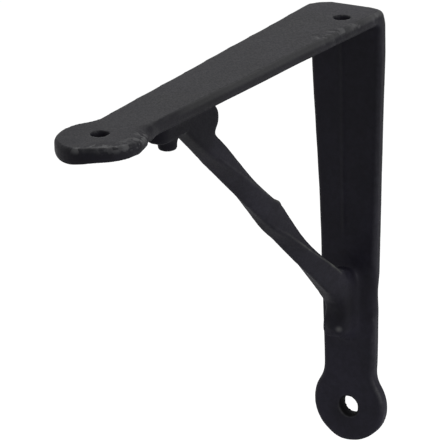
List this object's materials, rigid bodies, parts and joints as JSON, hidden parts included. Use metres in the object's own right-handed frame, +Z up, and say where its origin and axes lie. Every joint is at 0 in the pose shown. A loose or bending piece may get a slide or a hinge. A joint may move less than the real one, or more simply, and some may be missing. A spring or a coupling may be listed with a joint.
{
  "type": "shelf bracket",
  "caption": "Black cast shelf bracket: two tapering flat arms at a right angle, round screw ends, and a twisted diagonal brace.",
  "frame": {"origin": "middle of the outer corner, where the wall face and the shelf face meet", "axes": "+Z up, out of the shelf face; +Y into the wall; the shelf arm reaches towards -Y and the wall arm towards -Z; X across the arms"},
  "size_m": [0.024, 0.152, 0.14],
  "materials": {
    "black_iron": "satin black, fine cast grain"
  },
  "bodies": {
    "root": {"bracket": "black_iron"}
  },
  "joints": []
}
